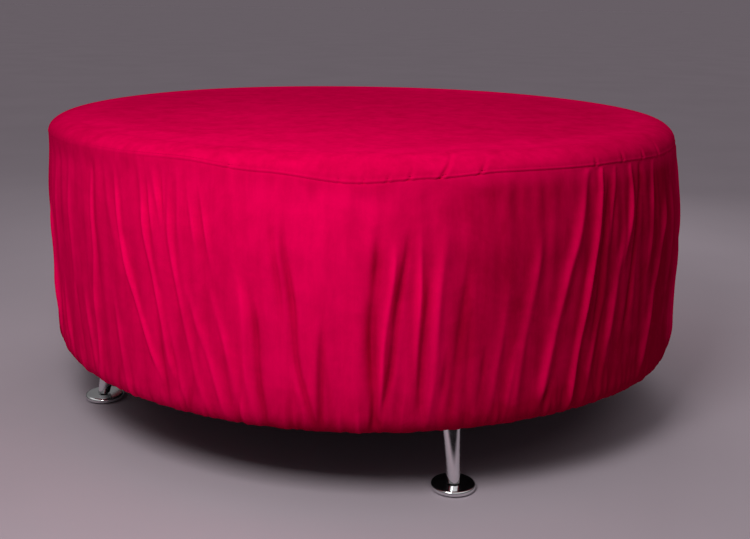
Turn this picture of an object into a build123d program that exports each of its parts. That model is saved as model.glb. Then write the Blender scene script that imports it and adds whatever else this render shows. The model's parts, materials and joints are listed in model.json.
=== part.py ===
from build123d import *
import os
from math import cos, degrees, radians, sin, sqrt, tan

# Round ottoman with a loose fabric cover, on four raked chrome legs with disc feet.
# Millimetres, +Z up. The origin is on the floor, below the middle of the seat.

# Overall sizes
SEAT_HEIGHT = 470.0         # floor to the crown of the seat
SEAM_RADIUS = 500.0         # outside of the cover at its seam
SEAT_CROWN = 5.0            # rise of the middle of the seat above its rim
EDGE_ROUND = 28.0           # rounding of the rim, from the top down to the seam
LEG_HEIGHT = 112.0          # floor to the face that the leg plates bear on

# Soft layers, from the outside in
FABRIC = 1.5
WADDING = 5.0
SEAT_FOAM = 70.0
SIDE_FOAM = 15.0
SIDE_FOAM_ROUND = 12.0      # rounding of the lower edge of the side foam
LAYER_GAP = 0.3             # room between curved layers

# Loose side band of the cover
BAND_SLACK = 3.0            # how far the band hangs outside the seam, between its folds
BAND_SHOULDER = 36.0        # height over which the band comes out to that slack
BOTTOM_ROUND = 20.0         # rounding where the band turns under the base
FOLDS_IN_QUARTER = 9
FOLD_HEIGHT = 8.5           # height of the tallest folds
FOLD_SPREAD = 3.5           # how much lower the smallest folds are
FOLD_SHIFT = 2.2            # uneven spacing of the folds, degrees
FOLD_SLANT = 1.6            # sideways run of the folds from top to bottom, degrees
FOLD_RHYTHM = 2.4           # step of the uneven pattern from fold to fold, radians
FOLD_TOP_FADE = 40.0        # height below the seam where the folds are full
FOLD_BOTTOM_FADE = 28.0     # height above the bottom rounding where they are full

# Hem of the band
HEM_ELASTIC_RADIUS = 2.2
HEM_CLEARANCE = 1.5         # from the hem to the leg plates
HEM_SLIT = 1.0              # open edge of the elastic's casing

# Frame
BOARD = 18.0
POST = 45.0
RIM_POSTS = 8
SKIN = 3.0
SKIN_JOINT = 1.0            # butt joint between the halves of the skin

# Dust cover and its staples
DUST_COVER = 0.8
DUST_COVER_INSET = 4.0      # inside the edge of the base board
STAPLES = 36
STAPLE_INSET = 12.0
STAPLE_CROWN = 10.0
STAPLE_LEG = 8.0
STAPLE_WIRE = 0.6

# Fasteners
SCREW_FIT = 0.05            # radial room of a screw in its hole
SCREW_END_ROOM = 2.0        # hole left beyond the end of a screw
POST_SCREW_RADIUS = 2.5
POST_SCREW_HEAD = 5.0
POST_SCREW_LENGTH = 60.0
PLATE_SCREW_RADIUS = 2.0
PLATE_SCREW_HEAD = 4.0
PLATE_SCREW_HEAD_HEIGHT = 2.2
PLATE_SCREW_LENGTH = 14.0   # from under the head to the end
NAILS_IN_BOARD = 16
NAIL_RADIUS = 0.8
NAIL_HEAD = 1.4
NAIL_HEAD_HEIGHT = 1.0
NAIL_LENGTH = 22.0

# Legs
LEG_INSET = 54.0            # middle of a foot to the outside of the cover at the seam
LEG_RAKE = 13.0             # degrees from upright, foot outwards
LEG_END_RADIUS = 9.2
LEG_TOP_RADIUS = 15.6
LEG_WALL = 2.0
PLATE = 3.0
PLATE_RADIUS = 32.0
PLATE_SCREW_CIRCLE = 23.0

# Feet
PAD = 2.0
PAD_RADIUS = 27.0
DISC = 7.0
DISC_RADIUS = 31.0
DISC_TOP_ROUND = 3.5
DISC_BOTTOM_ROUND = 1.5
FOOT_GAP = 1.5              # from the disc to the level-cut end of the leg
FOOT_TILT = 5.0             # degrees that a foot tilts either way
BALL_RADIUS = 4.0
BALL_FIT = 0.08
BALL_ABOVE_END = 5.0        # middle of the ball above the end of the leg
NECK_RADIUS = 2.5
NECK_PLAY = 0.3
SOCKET_RADIUS = 6.0
SOCKET_FIT = 0.05
SOCKET_DEPTH = 16.0         # socket above the middle of the ball
SOCKET_RECESS = 1.0         # socket above the end of the leg
PIN_FIT = 0.06              # running room between the pin and the disc
PIN_COLLAR = 0.8
PIN_COLLAR_RADIUS = 4.5
RIVET_HEAD = 1.6
RIVET_ROOM = 0.8            # around and below the rivet head

LEG_ANGLES = {"right": 0.0, "back": 90.0, "left": 180.0, "front": 270.0}

# Levels, from the floor up
disc_top = PAD + DISC
leg_end = disc_top + FOOT_GAP
ball_level = leg_end + BALL_ABOVE_END
plate_bottom = LEG_HEIGHT - PLATE
hem_bottom = LEG_HEIGHT - FABRIC
base_bottom = LEG_HEIGHT + DUST_COVER
base_top = base_bottom + BOARD
band_bottom = hem_bottom + BOTTOM_ROUND
rim_height = SEAT_HEIGHT - SEAT_CROWN
seam_height = rim_height - EDGE_ROUND
wadding_inset = FABRIC + LAYER_GAP
foam_inset = wadding_inset + WADDING + LAYER_GAP
seat_board_top = SEAT_HEIGHT - foam_inset - SEAT_FOAM
seat_board_bottom = seat_board_top - BOARD

# Radii, from the outside in
band_radius = SEAM_RADIUS + BAND_SLACK
foam_radius = SEAM_RADIUS - foam_inset
side_foam_inside = foam_radius - SIDE_FOAM
skin_radius = side_foam_inside - LAYER_GAP
skin_inside = skin_radius - SKIN
board_radius = skin_inside - LAYER_GAP
post_circle = sqrt(board_radius**2 - (POST / 2) ** 2) - LAYER_GAP - POST / 2
foot_circle = SEAM_RADIUS - LEG_INSET
plate_circle = foot_circle - (plate_bottom - ball_level) * tan(radians(LEG_RAKE))
hem_casing_inside = HEM_ELASTIC_RADIUS + LAYER_GAP
hem_casing = hem_casing_inside + FABRIC
hem_circle = plate_circle + PLATE_RADIUS + HEM_CLEARANCE + hem_casing
hem_level = LEG_HEIGHT - hem_casing

os.makedirs("parts", exist_ok=True)


def save(piece, name):
    """Label a finished piece and write it under its name."""
    piece.part.label = name
    export_step(piece.part, f"parts/{name}.step")


def polar(radius, angle, height=0.0):
    """Point at a radius, an angle in degrees and a height."""
    return (radius * cos(radians(angle)), radius * sin(radians(angle)), height)


def seat_arcs(inset):
    """Crown and rim of the seat as two arcs, drawn in by an inset. Gives their two ends."""
    crown = (0.0, SEAT_HEIGHT - inset)
    shoulder = (SEAM_RADIUS - EDGE_ROUND, rim_height - inset)
    middle = (EDGE_ROUND - inset) * sin(radians(45))
    edge = (SEAM_RADIUS - inset, seam_height)
    TangentArc(crown, shoulder, tangent=(1, 0))
    ThreePointArc(shoulder, (shoulder[0] + middle, seam_height + middle), edge)
    return crown, edge


def upright(plane):
    """The plane through the axis of another plane, with that axis pointing up in it."""
    return Plane(plane.origin, x_dir=plane.x_dir, z_dir=-plane.y_dir)


def raked(plane):
    """A plane turned so that its axis has the rake of a leg, with the top leaning inwards."""
    lean, rise = sin(radians(LEG_RAKE)), cos(radians(LEG_RAKE))
    return Plane(
        plane.origin,
        x_dir=plane.x_dir * rise + plane.z_dir * lean,
        z_dir=plane.z_dir * rise - plane.x_dir * lean,
    )


def axis_of(plane):
    """The axis that stands on a plane."""
    return Axis(plane.origin, plane.z_dir)


# Top panel of the cover
with BuildPart() as cover_top:
    with BuildSketch(Plane.XZ):
        with BuildLine():
            outer_crown, outer_edge = seat_arcs(0)
            inner_crown, inner_edge = seat_arcs(FABRIC)
            Line(outer_crown, inner_crown)
            Line(outer_edge, inner_edge)
        make_face()
    revolve(axis=Axis.Z)
save(cover_top, "cover_top")


# Side band of the cover: loose folds between the seam and the turned-under hem
def fold_start(place):
    """Angle of the hollow before a fold, unevenly spaced within a quarter of the band."""
    quarter, step = divmod(place, FOLDS_IN_QUARTER)
    return 90.0 * (quarter + step / FOLDS_IN_QUARTER) + FOLD_SHIFT * sin(FOLD_RHYTHM * step)


def fold_height(place):
    """Height of a fold where it is full."""
    step = place % FOLDS_IN_QUARTER
    return FOLD_HEIGHT - FOLD_SPREAD * (1 + cos(2 * FOLD_RHYTHM * step)) / 2


def fold_slant(place):
    """Sideways run of a fold over the height of the band, none where two quarters meet."""
    step = place % FOLDS_IN_QUARTER
    return FOLD_SLANT * sin(radians(360.0 * step / FOLDS_IN_QUARTER))


def fold_outline(radius, fullness, height_share):
    """A quarter of the band's outline: a rounded ridge and a rounded hollow for each fold."""
    def point(place, along, rise):
        start = fold_start(place)
        width = fold_start(place + 1) - start
        lean = (1 - along) * fold_slant(place) + along * fold_slant(place + 1)
        return polar(radius + fullness * rise, start + along * width + lean * height_share)[:2]

    for place in range(FOLDS_IN_QUARTER):
        height = fold_height(place)
        rising = point(place, 0.25, height / 2)
        falling = point(place, 0.75, height / 2)
        next_rising = point(place + 1, 0.25, fold_height(place + 1) / 2)
        ThreePointArc(rising, point(place, 0.5, height), falling)
        ThreePointArc(falling, point(place + 1, 0, 0), next_rising)
    Polyline(next_rising, (0, 0), point(0, 0.25, fold_height(0) / 2))


band_sections = [
    (band_bottom, band_radius, 0.0),
    (band_bottom + FOLD_BOTTOM_FADE, band_radius, 1.0),
    ((band_bottom + seam_height) / 2, band_radius, 1.0),
    (seam_height - FOLD_TOP_FADE, band_radius, 0.8),
    (seam_height, SEAM_RADIUS, 0.0),
]

with BuildPart() as fold_quarter:
    for level, radius, fullness in band_sections:
        with BuildSketch(Plane.XY.offset(level)):
            with BuildLine():
                fold_outline(radius, fullness, (level - band_bottom) / (seam_height - band_bottom))
            make_face()
    loft()

with BuildPart() as cover_band:
    with PolarLocations(0, 4):
        add(fold_quarter.part)
    turn_middle = band_radius - BOTTOM_ROUND
    with BuildSketch(Plane.XZ):
        with BuildLine():
            reach = BOTTOM_ROUND * sin(radians(45))
            ThreePointArc(
                (band_radius, band_bottom),
                (turn_middle + reach, band_bottom - reach),
                (turn_middle, hem_bottom),
            )
            Polyline((turn_middle, hem_bottom), (0, hem_bottom), (0, band_bottom), (band_radius, band_bottom))
        make_face()
    revolve(axis=Axis.Z)
    with BuildSketch(Plane.XZ):
        with BuildLine():
            reach = (BOTTOM_ROUND - FABRIC) * sin(radians(45))
            ThreePointArc(
                (band_radius - FABRIC, band_bottom),
                (turn_middle + reach, band_bottom - reach),
                (turn_middle, LEG_HEIGHT),
            )
            Polyline(
                (turn_middle, LEG_HEIGHT),
                (0, LEG_HEIGHT),
                (0, seam_height),
                (SEAM_RADIUS - FABRIC, seam_height),
                (band_radius - FABRIC, seam_height - BAND_SHOULDER),
                (band_radius - FABRIC, band_bottom),
            )
        make_face()
    revolve(axis=Axis.Z, mode=Mode.SUBTRACT)
    with Locations((0, 0, LEG_HEIGHT)):
        Cylinder(hem_circle, 2 * FABRIC, mode=Mode.SUBTRACT)
    with BuildSketch(Plane.XZ):
        with Locations((hem_circle, hem_level)):
            Circle(hem_casing)
            Circle(hem_casing_inside, mode=Mode.SUBTRACT)
        with Locations((hem_circle + hem_casing, hem_level)):
            Rectangle(2 * hem_casing_inside, HEM_SLIT, mode=Mode.SUBTRACT)
    revolve(axis=Axis.Z)
save(cover_band, "cover_band")

# Elastic in the hem
with BuildPart(Plane.XY.offset(hem_level)) as hem_elastic:
    Torus(hem_circle, HEM_ELASTIC_RADIUS)
save(hem_elastic, "hem_elastic")

# Wadding over the top and down the sides
with BuildPart() as wadding:
    with BuildSketch(Plane.XZ):
        with BuildLine():
            outer_crown, outer_edge = seat_arcs(wadding_inset)
            inner_crown, inner_edge = seat_arcs(wadding_inset + WADDING)
            Line(outer_crown, inner_crown)
            Polyline(
                outer_edge,
                (outer_edge[0], band_bottom),
                (inner_edge[0], band_bottom),
                inner_edge,
            )
        make_face()
    revolve(axis=Axis.Z)
save(wadding, "wadding")

# Seat foam
with BuildPart() as seat_foam:
    with BuildSketch(Plane.XZ):
        with BuildLine():
            crown, edge = seat_arcs(foam_inset)
            Polyline(edge, (edge[0], seat_board_top), (0, seat_board_top), crown)
        make_face()
    revolve(axis=Axis.Z)
save(seat_foam, "seat_foam")

# Side foam
with BuildPart() as side_foam:
    with BuildSketch(Plane.XY.offset(base_bottom)):
        Circle(foam_radius)
        Circle(side_foam_inside, mode=Mode.SUBTRACT)
    extrude(amount=seat_board_top - base_bottom)
    lower_edges = side_foam.edges().group_by(Axis.Z)[0]
    fillet(lower_edges.sort_by(SortBy.RADIUS)[-1], radius=min(SIDE_FOAM_ROUND, SIDE_FOAM - LAYER_GAP))
save(side_foam, "side_foam")

# Side skin, two bent halves that meet on posts
skin_joint_angle = degrees(SKIN_JOINT / skin_inside)
for half, start in (("back", 0.0), ("front", 180.0)):
    start += skin_joint_angle / 2
    start_plane = Plane((0, 0, 0), x_dir=polar(1, start), z_dir=polar(1, start - 90))
    with BuildPart() as side_skin:
        with BuildSketch(start_plane):
            with BuildLine():
                Polyline(
                    (skin_inside, base_bottom),
                    (skin_radius, base_bottom),
                    (skin_radius, seat_board_top),
                    (skin_inside, seat_board_top),
                    close=True,
                )
            make_face()
        revolve(axis=Axis.Z, revolution_arc=180.0 - skin_joint_angle)
    save(side_skin, f"side_skin_{half}")

# Places of the posts, and of the screws that hold the legs
post_angles = [360.0 * index / RIM_POSTS for index in range(RIM_POSTS)]
post_places = {"centre_post": (0.0, 0.0)}
for number, angle in enumerate(post_angles, start=1):
    post_places[f"rim_post_{number}"] = (post_circle, angle)

plate_screw_points = []
for angle in LEG_ANGLES.values():
    plate_middle = Vector(*polar(plate_circle, angle))
    for corner in range(4):
        plate_screw_points.append(plate_middle + Vector(*polar(PLATE_SCREW_CIRCLE, angle + 45 + 90 * corner)))

# Seat board, screwed down onto the posts
with BuildPart() as seat_board:
    with BuildSketch(Plane.XY.offset(seat_board_bottom)):
        Circle(board_radius)
    extrude(amount=BOARD)
    with Locations(*[polar(radius, angle, seat_board_top) for radius, angle in post_places.values()]):
        CounterSinkHole(POST_SCREW_RADIUS + SCREW_FIT, POST_SCREW_HEAD + SCREW_FIT, counter_sink_angle=90)
save(seat_board, "seat_board")

# Base board, screwed up into the posts, with pilot holes for the leg plates
with BuildPart() as base_board:
    with BuildSketch(Plane.XY.offset(base_bottom)):
        Circle(board_radius)
    extrude(amount=BOARD)
    underside = Plane(origin=(0, 0, base_bottom), x_dir=(1, 0, 0), z_dir=(0, 0, -1))
    with Locations(underside):
        with Locations(*[polar(radius, -angle) for radius, angle in post_places.values()]):
            CounterSinkHole(POST_SCREW_RADIUS + SCREW_FIT, POST_SCREW_HEAD + SCREW_FIT, counter_sink_angle=90)
        with Locations(*[(point.X, -point.Y) for point in plate_screw_points]):
            Hole(
                PLATE_SCREW_RADIUS + SCREW_FIT,
                depth=PLATE_SCREW_LENGTH - PLATE - DUST_COVER + SCREW_END_ROOM,
            )
save(base_board, "base_board")

# Posts between the boards
post_length = seat_board_bottom - base_top
for name, (radius, angle) in post_places.items():
    foot_plane = Plane(polar(radius, angle, base_top), x_dir=polar(1, angle), z_dir=(0, 0, 1))
    with BuildPart() as post:
        with BuildSketch(foot_plane):
            Rectangle(POST, POST)
        extrude(amount=post_length)
        with Locations(*post.faces().filter_by(Axis.Z)):
            Hole(
                POST_SCREW_RADIUS + SCREW_FIT,
                depth=POST_SCREW_LENGTH - BOARD + SCREW_END_ROOM,
            )
    save(post, name)

# Countersunk screws from the boards into the posts
with BuildPart() as countersunk_screw:
    with BuildSketch(Plane.XZ):
        with BuildLine():
            Polyline(
                (0, 0),
                (POST_SCREW_HEAD, 0),
                (POST_SCREW_RADIUS, POST_SCREW_RADIUS - POST_SCREW_HEAD),
                (POST_SCREW_RADIUS, POST_SCREW_RADIUS - POST_SCREW_LENGTH),
                (0, -POST_SCREW_LENGTH),
                close=True,
            )
        make_face()
    revolve(axis=Axis.Z)

with BuildPart() as seat_board_screws:
    with Locations(*[polar(radius, angle, seat_board_top) for radius, angle in post_places.values()]):
        add(countersunk_screw.part)
save(seat_board_screws, "seat_board_screws")

with BuildPart() as base_board_screws:
    with Locations(underside):
        with Locations(*[polar(radius, -angle) for radius, angle in post_places.values()]):
            add(countersunk_screw.part)
save(base_board_screws, "base_board_screws")

# Nails that hold the side skin to the edges of the boards
with BuildPart() as skin_nails:
    for level in (base_bottom + BOARD / 2, seat_board_bottom + BOARD / 2):
        for index in range(NAILS_IN_BOARD):
            angle = 360.0 * (index + 0.5) / NAILS_IN_BOARD
            head_plane = Plane(polar(skin_radius, angle, level), z_dir=polar(-1, angle))
            with BuildSketch(head_plane):
                Circle(NAIL_HEAD)
            extrude(amount=NAIL_HEAD_HEIGHT)
            with BuildSketch(head_plane):
                Circle(NAIL_RADIUS)
            extrude(amount=NAIL_LENGTH)
save(skin_nails, "skin_nails")

# Dust cover under the base board, with room for the leg screws
with BuildPart() as dust_cover:
    with BuildSketch(Plane.XY.offset(LEG_HEIGHT)):
        Circle(board_radius - DUST_COVER_INSET)
        with Locations(*[(point.X, point.Y) for point in plate_screw_points]):
            Circle(PLATE_SCREW_RADIUS + SCREW_FIT, mode=Mode.SUBTRACT)
    extrude(amount=DUST_COVER)
save(dust_cover, "dust_cover")

# Staples that hold the dust cover
with BuildPart() as dust_cover_staples:
    for index in range(STAPLES):
        angle = 360.0 * (index + 0.5) / STAPLES
        middle = polar(board_radius - STAPLE_INSET, angle, LEG_HEIGHT)
        staple_plane = Plane(middle, x_dir=polar(1, angle + 90), z_dir=polar(1, angle))
        with BuildSketch(staple_plane):
            with Locations((0, STAPLE_LEG / 2)):
                Rectangle(STAPLE_CROWN, STAPLE_LEG)
            with Locations((0, STAPLE_LEG / 2 + STAPLE_WIRE)):
                Rectangle(STAPLE_CROWN - 2 * STAPLE_WIRE, STAPLE_LEG, mode=Mode.SUBTRACT)
        extrude(amount=STAPLE_WIRE / 2, both=True)
save(dust_cover_staples, "dust_cover_staples")

# Screws that hold the leg plates
with BuildPart() as leg_plate_screws:
    for point in plate_screw_points:
        with BuildSketch(Plane((point.X, point.Y, plate_bottom))):
            Circle(PLATE_SCREW_HEAD)
        extrude(amount=-PLATE_SCREW_HEAD_HEIGHT)
        with BuildSketch(Plane((point.X, point.Y, plate_bottom))):
            Circle(PLATE_SCREW_RADIUS)
        extrude(amount=PLATE_SCREW_LENGTH)
save(leg_plate_screws, "leg_plate_screws")


# Legs and feet
def leg_plate(angle):
    """Round plate at the top of a leg, with its screw holes."""
    with BuildPart() as plate:
        with BuildSketch(Plane(polar(plate_circle, angle, plate_bottom), x_dir=polar(1, angle))):
            Circle(PLATE_RADIUS)
            with PolarLocations(PLATE_SCREW_CIRCLE, 4, start_angle=45):
                Circle(PLATE_SCREW_RADIUS + SCREW_FIT, mode=Mode.SUBTRACT)
        extrude(amount=PLATE)
    return plate


def leg_tube(ball_plane):
    """Tapered tube, raked, with a bore for the socket and both ends cut level."""
    leg_plane = raked(ball_plane)
    slope = 1 / cos(radians(LEG_RAKE))
    low = -BALL_ABOVE_END * slope
    high = (plate_bottom - ball_level) * slope
    taper = (LEG_TOP_RADIUS - LEG_END_RADIUS) / (high - low)

    def radius_at(along):
        return LEG_END_RADIUS + taper * (along - low)

    low_cut = low - LEG_END_RADIUS
    high_cut = high + LEG_TOP_RADIUS
    with BuildPart() as tube:
        with BuildSketch(upright(leg_plane)):
            with BuildLine():
                Polyline(
                    (SOCKET_RADIUS, low_cut),
                    (radius_at(low_cut), low_cut),
                    (radius_at(high_cut), high_cut),
                    (radius_at(high_cut) - LEG_WALL, high_cut),
                    (radius_at(SOCKET_DEPTH) - LEG_WALL, SOCKET_DEPTH),
                    (SOCKET_RADIUS, SOCKET_DEPTH),
                    close=True,
                )
            make_face()
        revolve(axis=axis_of(leg_plane))
        split(bisect_by=Plane.XY.offset(plate_bottom), keep=Keep.BOTTOM)
        split(bisect_by=Plane.XY.offset(leg_end), keep=Keep.TOP)
    return tube


def foot_socket(ball_plane):
    """Plastic plug in the end of a leg, which holds the ball and lets the neck tilt."""
    leg_plane = raked(ball_plane)
    drop = BALL_ABOVE_END - SOCKET_RECESS
    mouth = NECK_RADIUS / cos(radians(FOOT_TILT)) + NECK_PLAY
    with BuildPart() as socket:
        with BuildSketch(leg_plane.offset(-BALL_ABOVE_END - SOCKET_RADIUS)):
            Circle(SOCKET_RADIUS - SOCKET_FIT)
        extrude(amount=BALL_ABOVE_END + SOCKET_RADIUS + SOCKET_DEPTH)
        split(bisect_by=Plane.XY.offset(ball_level - drop), keep=Keep.TOP)
        with BuildSketch(upright(ball_plane)):
            with BuildLine():
                Polyline(
                    (0, 0),
                    (mouth, 0),
                    (mouth + drop * tan(radians(FOOT_TILT)), -drop),
                    (0, -drop),
                    close=True,
                )
            make_face()
        revolve(axis=axis_of(ball_plane), mode=Mode.SUBTRACT)
        with Locations(ball_plane):
            Sphere(BALL_RADIUS + BALL_FIT, mode=Mode.SUBTRACT)
    return socket


# Levels within a foot, measured from the middle of the ball
ball_to_disc_top = disc_top - ball_level
ball_to_disc_bottom = PAD - ball_level
rivet_seat = ball_to_disc_bottom + RIVET_HEAD + RIVET_ROOM
rivet_head_radius = PIN_COLLAR_RADIUS


def ball_pin(ball_plane):
    """Pin with a ball above, a collar on the disc and a rivet head below it."""
    neck_start = -sqrt(BALL_RADIUS**2 - NECK_RADIUS**2)
    collar_bottom = ball_to_disc_top + PIN_FIT
    head_top = rivet_seat - PIN_FIT
    with BuildPart() as pin:
        with BuildSketch(upright(ball_plane)):
            with BuildLine():
                ThreePointArc((0, BALL_RADIUS), (BALL_RADIUS, 0), (NECK_RADIUS, neck_start))
                Polyline(
                    (NECK_RADIUS, neck_start),
                    (NECK_RADIUS, collar_bottom + PIN_COLLAR),
                    (PIN_COLLAR_RADIUS, collar_bottom + PIN_COLLAR),
                    (PIN_COLLAR_RADIUS, collar_bottom),
                    (NECK_RADIUS, collar_bottom),
                    (NECK_RADIUS, head_top),
                    (rivet_head_radius, head_top),
                    (rivet_head_radius, head_top - RIVET_HEAD),
                    (0, head_top - RIVET_HEAD),
                    (0, BALL_RADIUS),
                )
            make_face()
        revolve(axis=axis_of(ball_plane))
    return pin


def foot_disc(ball_plane):
    """Disc with a rounded rim, bored for the pin and recessed for its rivet head."""
    recess = rivet_head_radius + RIVET_ROOM
    with BuildPart() as disc:
        with BuildSketch(ball_plane.offset(ball_to_disc_bottom)):
            Circle(DISC_RADIUS)
        extrude(amount=DISC)
        rims = disc.edges().sort_by(Axis.Z)
        fillet(rims[-1], radius=DISC_TOP_ROUND)
        fillet(disc.edges().sort_by(Axis.Z)[0], radius=DISC_BOTTOM_ROUND)
        with BuildSketch(ball_plane.offset(ball_to_disc_bottom)):
            Circle(NECK_RADIUS + PIN_FIT)
        extrude(amount=DISC, mode=Mode.SUBTRACT)
        with BuildSketch(ball_plane.offset(ball_to_disc_bottom)):
            Circle(recess)
        extrude(amount=rivet_seat - ball_to_disc_bottom, mode=Mode.SUBTRACT)
    return disc


def foot_pad(ball_plane):
    """Glide pad under the disc."""
    with BuildPart() as pad:
        with BuildSketch(ball_plane.offset(-ball_level)):
            Circle(PAD_RADIUS)
        extrude(amount=PAD)
    return pad


for side, angle in LEG_ANGLES.items():
    ball = Plane(polar(foot_circle, angle, ball_level), x_dir=polar(1, angle), z_dir=(0, 0, 1))
    save(leg_plate(angle), f"leg_plate_{side}")
    save(leg_tube(ball), f"leg_{side}")
    save(foot_socket(ball), f"foot_socket_{side}")
    save(ball_pin(ball), f"ball_pin_{side}")
    save(foot_disc(ball), f"foot_disc_{side}")
    save(foot_pad(ball), f"foot_pad_{side}")
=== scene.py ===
import json
from math import cos, radians, sin, tau
from typing import NamedTuple

import bpy
import numpy as np
from bpy.props import FloatProperty, FloatVectorProperty, IntProperty, PointerProperty
from mathutils import Matrix, Vector


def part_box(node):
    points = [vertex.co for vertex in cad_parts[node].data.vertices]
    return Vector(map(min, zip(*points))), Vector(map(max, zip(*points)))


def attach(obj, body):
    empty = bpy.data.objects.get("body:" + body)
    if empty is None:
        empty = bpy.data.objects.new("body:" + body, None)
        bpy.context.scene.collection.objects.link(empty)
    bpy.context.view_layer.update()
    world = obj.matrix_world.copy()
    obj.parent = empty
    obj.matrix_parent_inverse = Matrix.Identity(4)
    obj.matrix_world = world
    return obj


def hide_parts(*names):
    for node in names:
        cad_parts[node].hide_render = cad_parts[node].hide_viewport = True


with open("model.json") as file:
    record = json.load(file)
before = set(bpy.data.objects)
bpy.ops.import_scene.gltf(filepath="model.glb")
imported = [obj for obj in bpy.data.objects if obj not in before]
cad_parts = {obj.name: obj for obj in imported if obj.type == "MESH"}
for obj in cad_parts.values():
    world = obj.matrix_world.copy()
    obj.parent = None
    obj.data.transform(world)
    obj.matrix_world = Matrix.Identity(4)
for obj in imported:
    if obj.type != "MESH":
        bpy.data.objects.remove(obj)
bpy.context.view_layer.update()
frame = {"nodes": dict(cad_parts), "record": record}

bl_info = {
    "name": "Round Ottoman Dresser",
    "version": (1, 0, 0),
    "blender": (4, 5, 0),
    "location": "View3D > Sidebar > Ottoman",
    "description": "Dresses the frame of a round ottoman in its loose suede cover and finishes its legs",
    "category": "Object",
}

BODY = "ottoman"
MM = 0.001
SEAT_LOW, SEAT_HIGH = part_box("cover_top")
DUST_LOW, DUST_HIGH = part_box("dust_cover")
ELASTIC_LOW, ELASTIC_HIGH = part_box("hem_elastic")
SEAM_RADIUS = SEAT_HIGH[0]
SEAM_HEIGHT = SEAT_LOW[2]
SEAT_HEIGHT = SEAT_HIGH[2]
DUST_RADIUS = DUST_HIGH[0]
HEM_LEVEL = DUST_LOW[2]
ELASTIC_LEVEL = (ELASTIC_LOW[2] + ELASTIC_HIGH[2]) / 2
ELASTIC_RADIUS = (ELASTIC_HIGH[2] - ELASTIC_LOW[2]) / 2
HEM_CIRCLE = ELASTIC_HIGH[0] - ELASTIC_RADIUS
CASING = ELASTIC_RADIUS + 1.8 * MM
BOTTOM = HEM_LEVEL - 1.5 * MM


class Fold(NamedTuple):
    """A fold of the side band: angles and bow in degrees, everything else in millimetres."""
    top_angle: float
    top: float
    foot_angle: float
    foot: float
    bow: float
    height: float
    width: float


class Crease(NamedTuple):
    """A crease of the seat panel that runs up from the seam: angles in degrees, the rest in millimetres."""
    seam_angle: float
    end_angle: float
    reach: float
    depth: float
    width: float


# Folds of the side that faces the camera, from its left end to its right end
SHOWN_FOLDS = (
    Fold(-168, 430, -169, 150, 0, 3, 8),
    Fold(-161, 430, -161.5, 180, 0.5, 3, 8),
    Fold(-152.4, 430, -153.1, 130, -0.3, 3.4, 4),
    Fold(-149.5, 430, -146.5, 330, 0, 2.5, 7),
    Fold(-146.5, 428, -137.8, 150, -1.5, 5.6, 3.9),
    Fold(-140.7, 428, -135.6, 170, -0.6, 4.8, 4.2),
    Fold(-139, 430, -138, 330, 0, 3.5, 3.2),
    Fold(-137.4, 430, -136.8, 350, 0, 4, 3.4),
    Fold(-136.2, 428, -135.9, 355, 0, 3, 3.2),
    Fold(-135.2, 428, -131.5, 160, -0.8, 4, 4.5),
    Fold(-133.5, 426, -132.8, 330, 0, 2.5, 3.2),
    Fold(-131.6, 425, -130.4, 320, 0, 3.5, 4),
    Fold(-130, 430, -128, 310, 0, 4.4, 3.8),
    Fold(-132.8, 300, -126.8, 118, 0, 4.5, 7),
    Fold(-128.8, 310, -123.8, 115, 0, 4.5, 7),
    Fold(-124.4, 345, -122.4, 112, 0, 4, 7),
    Fold(-122.4, 310, -120.7, 112, 0, -5.5, 5),
    Fold(-118.8, 395, -117.6, 220, 0, -4, 5),
    Fold(-116.9, 390, -113.4, 108, -0.9, -6.5, 5),
    Fold(-111.4, 275, -113, 108, 0, -6, 5),
    Fold(-104.1, 392, -105.4, 108, 0, -11.5, 8.5),
    Fold(-101.5, 380, -104.7, 108, 0, 6.5, 6),
    Fold(-99.5, 388, -104.4, 108, 0.1, -6.5, 5),
    Fold(-97.9, 390, -98.9, 180, 0, 6, 5),
    Fold(-97, 340, -98.3, 130, 0, -5.5, 5.5),
    Fold(-94.3, 390, -97, 140, 0, 6, 9),
    Fold(-90.8, 360, -94, 130, 0, -4, 8),
    Fold(-88, 240, -90, 150, 0, -3, 5),
    Fold(-84.5, 330, -88, 130, 0, 3, 8),
    Fold(-79.8, 380, -84.5, 130, 0.4, 4, 8.5),
    Fold(-70.7, 437, -79.8, 130, -0.3, 6.5, 8.5),
    Fold(-67.6, 437, -74.2, 112, -0.1, 9, 4.5),
    Fold(-64.6, 437, -66.4, 330, 0, 3.5, 3.5),
    Fold(-66.2, 430, -69.6, 200, 0, -5, 4.5),
    Fold(-68.4, 250, -71, 115, 0, 4, 6),
    Fold(-60.4, 437, -62.6, 310, 0.5, 7, 4.5),
    Fold(-62.2, 370, -67.5, 150, 0.3, 5.5, 8),
    Fold(-57.6, 437, -62.5, 190, 0.3, -5, 5),
    Fold(-52.6, 437, -55.5, 280, 0, 5, 6),
    Fold(-47.5, 410, -57, 115, 0.3, 5.5, 9),
    Fold(-43.5, 430, -45.5, 220, 0, 3.5, 9),
)

# Creases of the seat panel above the seam, on the same side
SHOWN_CREASES = (
    Crease(-125, -124.2, 14, 1, 3.5),
    Crease(-109, -109.2, 9, 1.4, 2.6),
    Crease(-105.8, -105.8, 10, 1.6, 2.6),
    Crease(-102.6, -102.2, 11, 1.8, 2.6),
    Crease(-99.6, -98.8, 18, 2.2, 3),
    Crease(-95.2, -91.6, 42, 3.6, 3.2),
    Crease(-89.5, -87.2, 32, 2, 3.2),
    Crease(-69.2, -68.8, 18, 2.4, 3.2),
    Crease(-62.6, -62.2, 22, 2.8, 3.4),
    Crease(-56.5, -56, 20, 3, 3.6),
    Crease(-50, -50, 26, 3.4, 4),
)

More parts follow.
